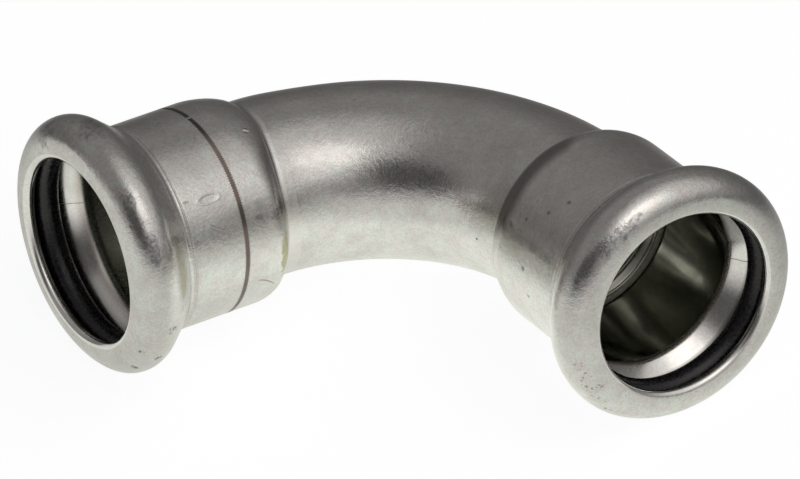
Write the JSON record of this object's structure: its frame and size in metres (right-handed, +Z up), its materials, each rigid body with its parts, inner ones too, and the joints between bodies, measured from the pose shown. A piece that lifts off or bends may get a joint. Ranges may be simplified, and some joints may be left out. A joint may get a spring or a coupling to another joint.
{
  "type": "press-fit pipe elbow",
  "caption": "Right-angle bent steel tube whose ends are widened into sockets and rolled into beads that hold rubber seals, for joining thin-walled pipe by pressing.",
  "frame": {"origin": "centre of the footprint box, on the surface that the elbow lies on", "axes": "+Z up from that surface; seen from above the marked leg runs along +X and the plain leg along +Y, and both rise by about 9 degrees towards their mouths"},
  "size_m": [0.0694, 0.0694, 0.0313],
  "materials": {
    "steel": "pickled satin stainless steel with a fine grain",
    "rubber": "smooth black rubber with a slight sheen"
  },
  "bodies": {
    "root": {"elbow_body": "steel", "o_ring_marked_end": "rubber", "o_ring_plain_end": "rubber"}
  },
  "joints": []
}
